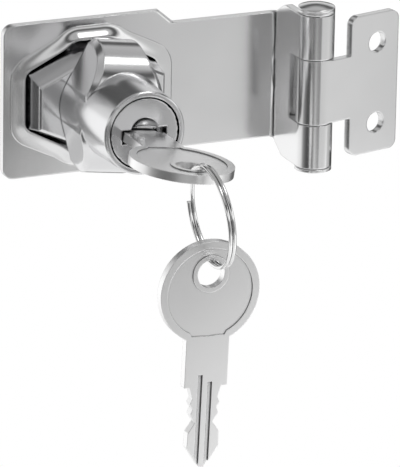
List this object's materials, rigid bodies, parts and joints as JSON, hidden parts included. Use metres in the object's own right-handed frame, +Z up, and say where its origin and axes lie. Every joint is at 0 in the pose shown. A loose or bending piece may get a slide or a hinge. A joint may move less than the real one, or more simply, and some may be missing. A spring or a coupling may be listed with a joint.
{
  "type": "keyed hasp lock",
  "caption": "Hasp with a keyed turning knob: slotted folded strap over a fixed boss, hinged leaf with pin, key in the plug and a spare key on a split ring.",
  "frame": {"origin": "on the lock's axis at the back face of the base, against the door", "axes": "+X towards the hinge, -Y out of the door towards the user, +Z up"},
  "size_m": [0.0806, 0.0706, 0.0768],
  "materials": {
    "cast_chrome": "polished plated casting",
    "plated_sheet": "bright plated sheet",
    "pin_steel": "plain steel",
    "key_nickel": "bright nickel plate",
    "spring_steel": "spring steel",
    "wafer_brass": "stamped brass"
  },
  "bodies": {
    "base": {"base_body": "cast_chrome", "hasp_strap": "plated_sheet", "hinge_pin": "pin_steel", "pin_top_cap": "plated_sheet", "pin_bottom_cap": "plated_sheet", "neck_washer": "spring_steel"},
    "leaf": {"hinge_leaf": "plated_sheet"},
    "knob": {"knob_body": "cast_chrome", "neck_circlip": "spring_steel"},
    "plug": {"lock_plug": "cast_chrome", "plug_clip": "spring_steel"},
    "bolt": {"lock_bolt": "pin_steel"},
    "lock_key": {"key_in_lock": "key_nickel"},
    "ring": {"split_ring": "key_nickel"},
    "spare": {"spare_key": "key_nickel"},
    "wafer_1": {"wafer_1": "wafer_brass"},
    "wafer_2": {"wafer_2": "wafer_brass"},
    "wafer_3": {"wafer_3": "wafer_brass"},
    "wafer_4": {"wafer_4": "wafer_brass"},
    "wafer_5": {"wafer_5": "wafer_brass"}
  },
  "joints": [
    {"name": "leaf_hinge", "type": "hinge", "parent": "base", "child": "leaf", "pos_m": [0.0433, -0.0164, 0], "axis": [0, 0, 1], "range_deg": [-194, 70]},
    {"name": "knob_turn", "type": "hinge", "parent": "base", "child": "knob", "pos_m": [0, -0.011, 0], "axis": [0, 1, 0], "range_deg": [-8, 82]},
    {"name": "plug_turn", "type": "hinge", "parent": "knob", "child": "plug", "pos_m": [0, -0.02, 0], "axis": [0, 1, 0], "range_deg": [0, 90]},
    {"name": "bolt_slide", "type": "slide", "parent": "knob", "child": "bolt", "axis": [0.9903, 0, -0.1392], "range_m": [0, 0.0013]},
    {"name": "key_pull", "type": "slide", "parent": "plug", "child": "lock_key", "axis": [0, -1, 0], "range_m": [0, 0.02]},
    {"name": "ring_turn", "type": "hinge", "parent": "lock_key", "child": "ring", "pos_m": [0.00188, -0.06033, -0.00829], "axis": [0.9945, 0, 0.1045], "range_deg": [-25, 25]},
    {"name": "spare_swing", "type": "hinge", "parent": "ring", "child": "spare", "pos_m": [0.00291, -0.06033, -0.01814], "axis": [0, 1, 0], "range_deg": [-40, 40]},
    {"name": "wafer_1_slide", "type": "slide", "parent": "plug", "child": "wafer_1", "axis": [0.9903, 0, -0.1392], "range_m": [0, 0.0005], "stiffness_N_per_m": 20},
    {"name": "wafer_2_slide", "type": "slide", "parent": "plug", "child": "wafer_2", "axis": [0.9903, 0, -0.1392], "range_m": [0, 0.0005], "stiffness_N_per_m": 20},
    {"name": "wafer_3_slide", "type": "slide", "parent": "plug", "child": "wafer_3", "axis": [0.9903, 0, -0.1392], "range_m": [0, 0.0005], "stiffness_N_per_m": 20},
    {"name": "wafer_4_slide", "type": "slide", "parent": "plug", "child": "wafer_4", "axis": [0.9903, 0, -0.1392], "range_m": [0, 0.0005], "stiffness_N_per_m": 20},
    {"name": "wafer_5_slide", "type": "slide", "parent": "plug", "child": "wafer_5", "axis": [0.9903, 0, -0.1392], "range_m": [0, 0.0005], "stiffness_N_per_m": 20}
  ],
  "couplings": [
    {"joint": "bolt_slide", "follows": "plug_turn", "m_per_rad": 0.00082761}
  ]
}
